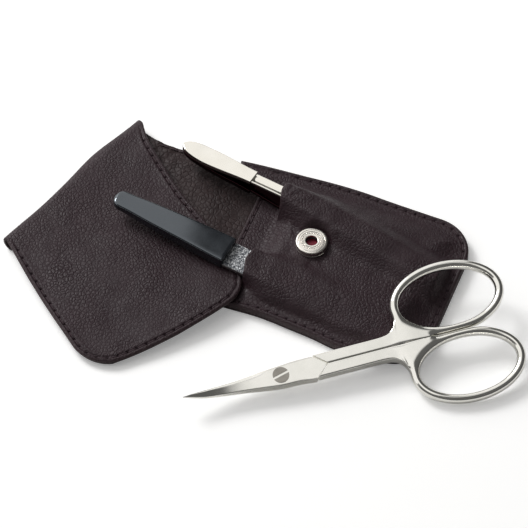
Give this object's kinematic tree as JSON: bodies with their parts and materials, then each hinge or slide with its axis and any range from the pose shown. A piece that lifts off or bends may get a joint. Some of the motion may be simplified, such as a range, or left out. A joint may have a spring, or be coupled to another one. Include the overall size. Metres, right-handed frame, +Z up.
{
  "type": "manicure set case",
  "caption": "Soft folding leather case lying open with its flap turned back, with tweezers and a nail file in sleeves, and nail scissors leaning on its edge.",
  "frame": {"origin": "on the table, at the middle of the pocket's flat underside", "axes": "+X towards the pocket's closed end, +Y across the case to its far long edge, +Z up"},
  "size_m": [0.1415, 0.0794, 0.0115],
  "materials": {
    "leather": "soft pebbled grain",
    "lining": "fine suede-like nap",
    "thread": "matt twisted thread",
    "nickel": "polished nickel plate",
    "clasp_metal": "polished nickel plate",
    "plate_metal": "plain zinc plate",
    "magnet": "sintered, matt",
    "handle": "glossy black",
    "file_steel": "nickel-plated steel",
    "grit": "sparkling abrasive grit"
  },
  "bodies": {
    "case": {"case_leather": "leather", "case_lining": "lining", "seam_back": "thread", "sleeve_lining": "lining", "front_panel": "leather", "seam_pocket": "thread", "seam_mouth": "thread", "clasp_cover": "clasp_metal", "clasp_magnet": "magnet", "clasp_base": "plate_metal", "clasp_washer": "plate_metal", "seam_flap": "thread"},
    "flap_end": {"flap_end_leather": "leather", "flap_end_lining": "lining", "seam_flap_end": "thread", "stud_plate": "clasp_metal", "stud_washer": "plate_metal"},
    "tweezers": {"tweezers_upper_half": "nickel"},
    "tweezers_arm": {"tweezers_lower_half": "nickel"},
    "nail_file": {"file_handle": "handle", "file_blade": "file_steel", "file_grit_upper": "grit", "file_grit_lower": "grit"},
    "scissors": {"scissors_lower_half": "nickel", "scissors_screw": "nickel"},
    "scissors_arm": {"scissors_upper_half": "nickel"}
  },
  "joints": [
    {"name": "flap_lift", "type": "hinge", "parent": "case", "child": "flap_end", "pos_m": [-0.08464, -0.02535, 0.0047], "axis": [-0.9997, -0.0262, 0], "range_deg": [0, 75], "stiffness_Nm_per_rad": 0.0005},
    {"name": "tweezers_draw", "type": "slide", "parent": "case", "child": "tweezers", "axis": [-0.9819, 0.182, 0.0523], "range_m": [0, 0.06]},
    {"name": "tweezers_squeeze", "type": "hinge", "parent": "tweezers", "child": "tweezers_arm", "pos_m": [-0.04577, 0.01675, 0.00765], "axis": [-0.1822, -0.9833, 0], "range_deg": [0, 1.4], "stiffness_Nm_per_rad": 2},
    {"name": "file_draw", "type": "slide", "parent": "case", "child": "nail_file", "axis": [-0.9895, 0.1233, 0.075], "range_m": [0, 0.06]},
    {"name": "scissors_lift", "type": "slide", "parent": "case", "child": "scissors", "axis": [0, 0, 1], "range_m": [0, 0.06]},
    {"name": "scissors_open", "type": "hinge", "parent": "scissors", "child": "scissors_arm", "pos_m": [-0.0025, -0.0395, 0.00385], "axis": [0.098, -0.2036, 0.9741], "range_deg": [0, 40]}
  ]
}
